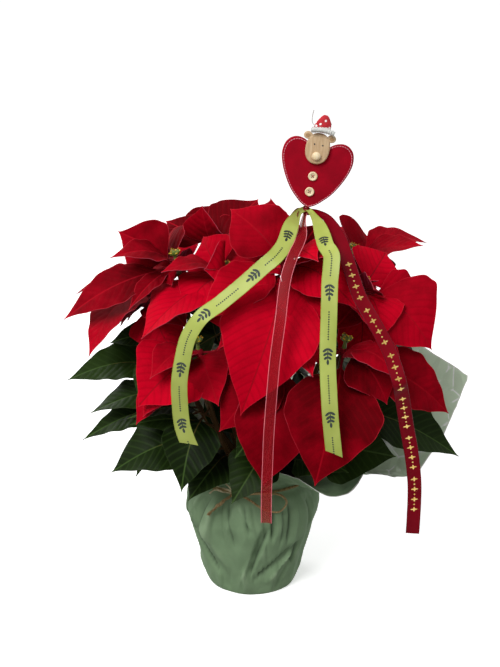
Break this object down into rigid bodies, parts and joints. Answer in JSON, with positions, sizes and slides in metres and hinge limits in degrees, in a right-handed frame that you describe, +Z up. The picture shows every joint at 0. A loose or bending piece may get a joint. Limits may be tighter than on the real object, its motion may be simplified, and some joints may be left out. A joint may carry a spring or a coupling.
{
  "type": "potted poinsettia",
  "caption": "Red poinsettia in a paper-wrapped pot tied with raffia, with a felt heart on a stick and hanging ribbons.",
  "frame": {"origin": "middle of the wrap's flat base, where it stands on the ground", "axes": "+Z up; the front, where the ribbons hang, faces -Y; +X is to the viewer's right"},
  "size_m": [0.4623, 0.4235, 0.554],
  "materials": {
    "pot_plastic": "moulded brown plastic, matt",
    "peat": "damp peat mix",
    "sage_paper": "crumpled kraft paper, matt outside, slight sheen inside",
    "raffia": "natural raffia, fibrous",
    "woody_stem": "brown-green bark",
    "leaf": "satin leaf, paler veins",
    "bract": "velvety red bract, pinnate veins",
    "cyathium": "waxy yellow-green buds",
    "red_felt": "pressed wool felt with pink stitching",
    "pale_wood": "sanded pale wood",
    "cream_wood": "sanded cream wood",
    "white_felt": "soft white felt",
    "hat_cotton": "red cotton with white dots",
    "lime_satin": "satin ribbon with plain dark sprigs",
    "burgundy_satin": "satin ribbon with plain gold motifs",
    "red_organza": "sheer woven ribbon with dense edges"
  },
  "bodies": {
    "root": {"bracts_back_left": "bract", "bracts_back_right": "bract", "bracts_centre": "bract", "bracts_left": "bract", "bracts_lower_centre": "bract", "bracts_lower_left": "bract", "bracts_lower_right": "bract", "bracts_middle_left": "bract", "bracts_right": "bract", "bracts_top": "bract", "bracts_top_right": "bract", "bracts_upper_left": "bract", "cyathia_back_left": "cyathium", "cyathia_back_right": "cyathium", "cyathia_centre": "cyathium", "cyathia_left": "cyathium", "cyathia_lower_centre": "cyathium", "cyathia_lower_left": "cyathium", "cyathia_lower_right": "cyathium", "cyathia_middle_left": "cyathium", "cyathia_right": "cyathium", "cyathia_top": "cyathium", "cyathia_top_right": "cyathium", "cyathia_upper_left": "cyathium", "grower_pot": "pot_plastic", "leafy_stem_back_left": "leaf", "leafy_stem_back_right": "leaf", "leafy_stem_centre": "leaf", "leafy_stem_left": "leaf", "leafy_stem_lower_centre": "leaf", "leafy_stem_lower_left": "leaf", "leafy_stem_lower_right": "leaf", "leafy_stem_middle_left": "leaf", "leafy_stem_right": "leaf", "leafy_stem_top": "leaf", "leafy_stem_top_right": "leaf", "leafy_stem_upper_left": "leaf", "paper_wrap": "sage_paper", "pick_button_1": "cream_wood", "pick_button_2": "cream_wood", "pick_hat": "hat_cotton", "pick_hat_brim": "white_felt", "pick_head": "pale_wood", "pick_heart": "red_felt", "pick_nose": "cream_wood", "pick_stick": "pale_wood", "potting_soil": "peat", "raffia_tie": "raffia", "ribbon_burgundy": "burgundy_satin", "ribbon_burgundy_short": "burgundy_satin", "ribbon_knot": "red_felt", "ribbon_lime_left": "lime_satin", "ribbon_lime_right": "lime_satin", "ribbon_organza": "red_organza", "trunk": "woody_stem"}
  },
  "joints": []
}
